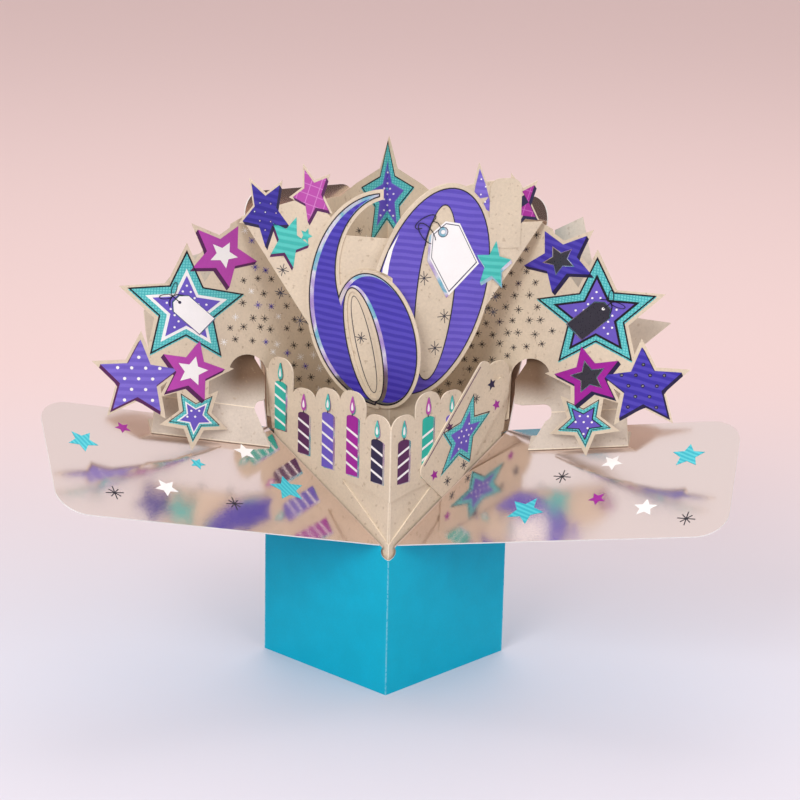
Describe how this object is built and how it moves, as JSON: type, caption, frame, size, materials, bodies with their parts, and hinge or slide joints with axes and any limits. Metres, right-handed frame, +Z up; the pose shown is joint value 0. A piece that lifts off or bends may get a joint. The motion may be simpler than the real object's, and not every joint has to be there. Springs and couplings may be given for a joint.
{
  "type": "pop-up card",
  "caption": "Box-type pop-up birthday card standing open: a square card tube with folded-out foil flaps, leaning back panels and die-cut kraft sheets carrying stars, numerals and candles.",
  "frame": {"origin": "on the table, under the middle of the square tube", "axes": "+Z up, -Y towards the tube's front corner, +X to the right seen from the front"},
  "size_m": [0.2428, 0.1505, 0.1844],
  "materials": {
    "sleeve_card": "teal printed card outside, rose-gold mirror foil inside",
    "kraft_card": "matt kraft card with fine flecks and printed stars",
    "numeral_card": "kraft card with a purple print and a silver foil outline",
    "stay_card": "plain matt kraft card"
  },
  "bodies": {
    "root": {"sleeve": "sleeve_card", "star_backdrop": "kraft_card", "number_fan": "kraft_card", "numeral_six": "numeral_card", "banner": "kraft_card", "tag": "kraft_card", "left_wing_stay": "stay_card", "right_wing_stay": "stay_card"}
  },
  "joints": []
}
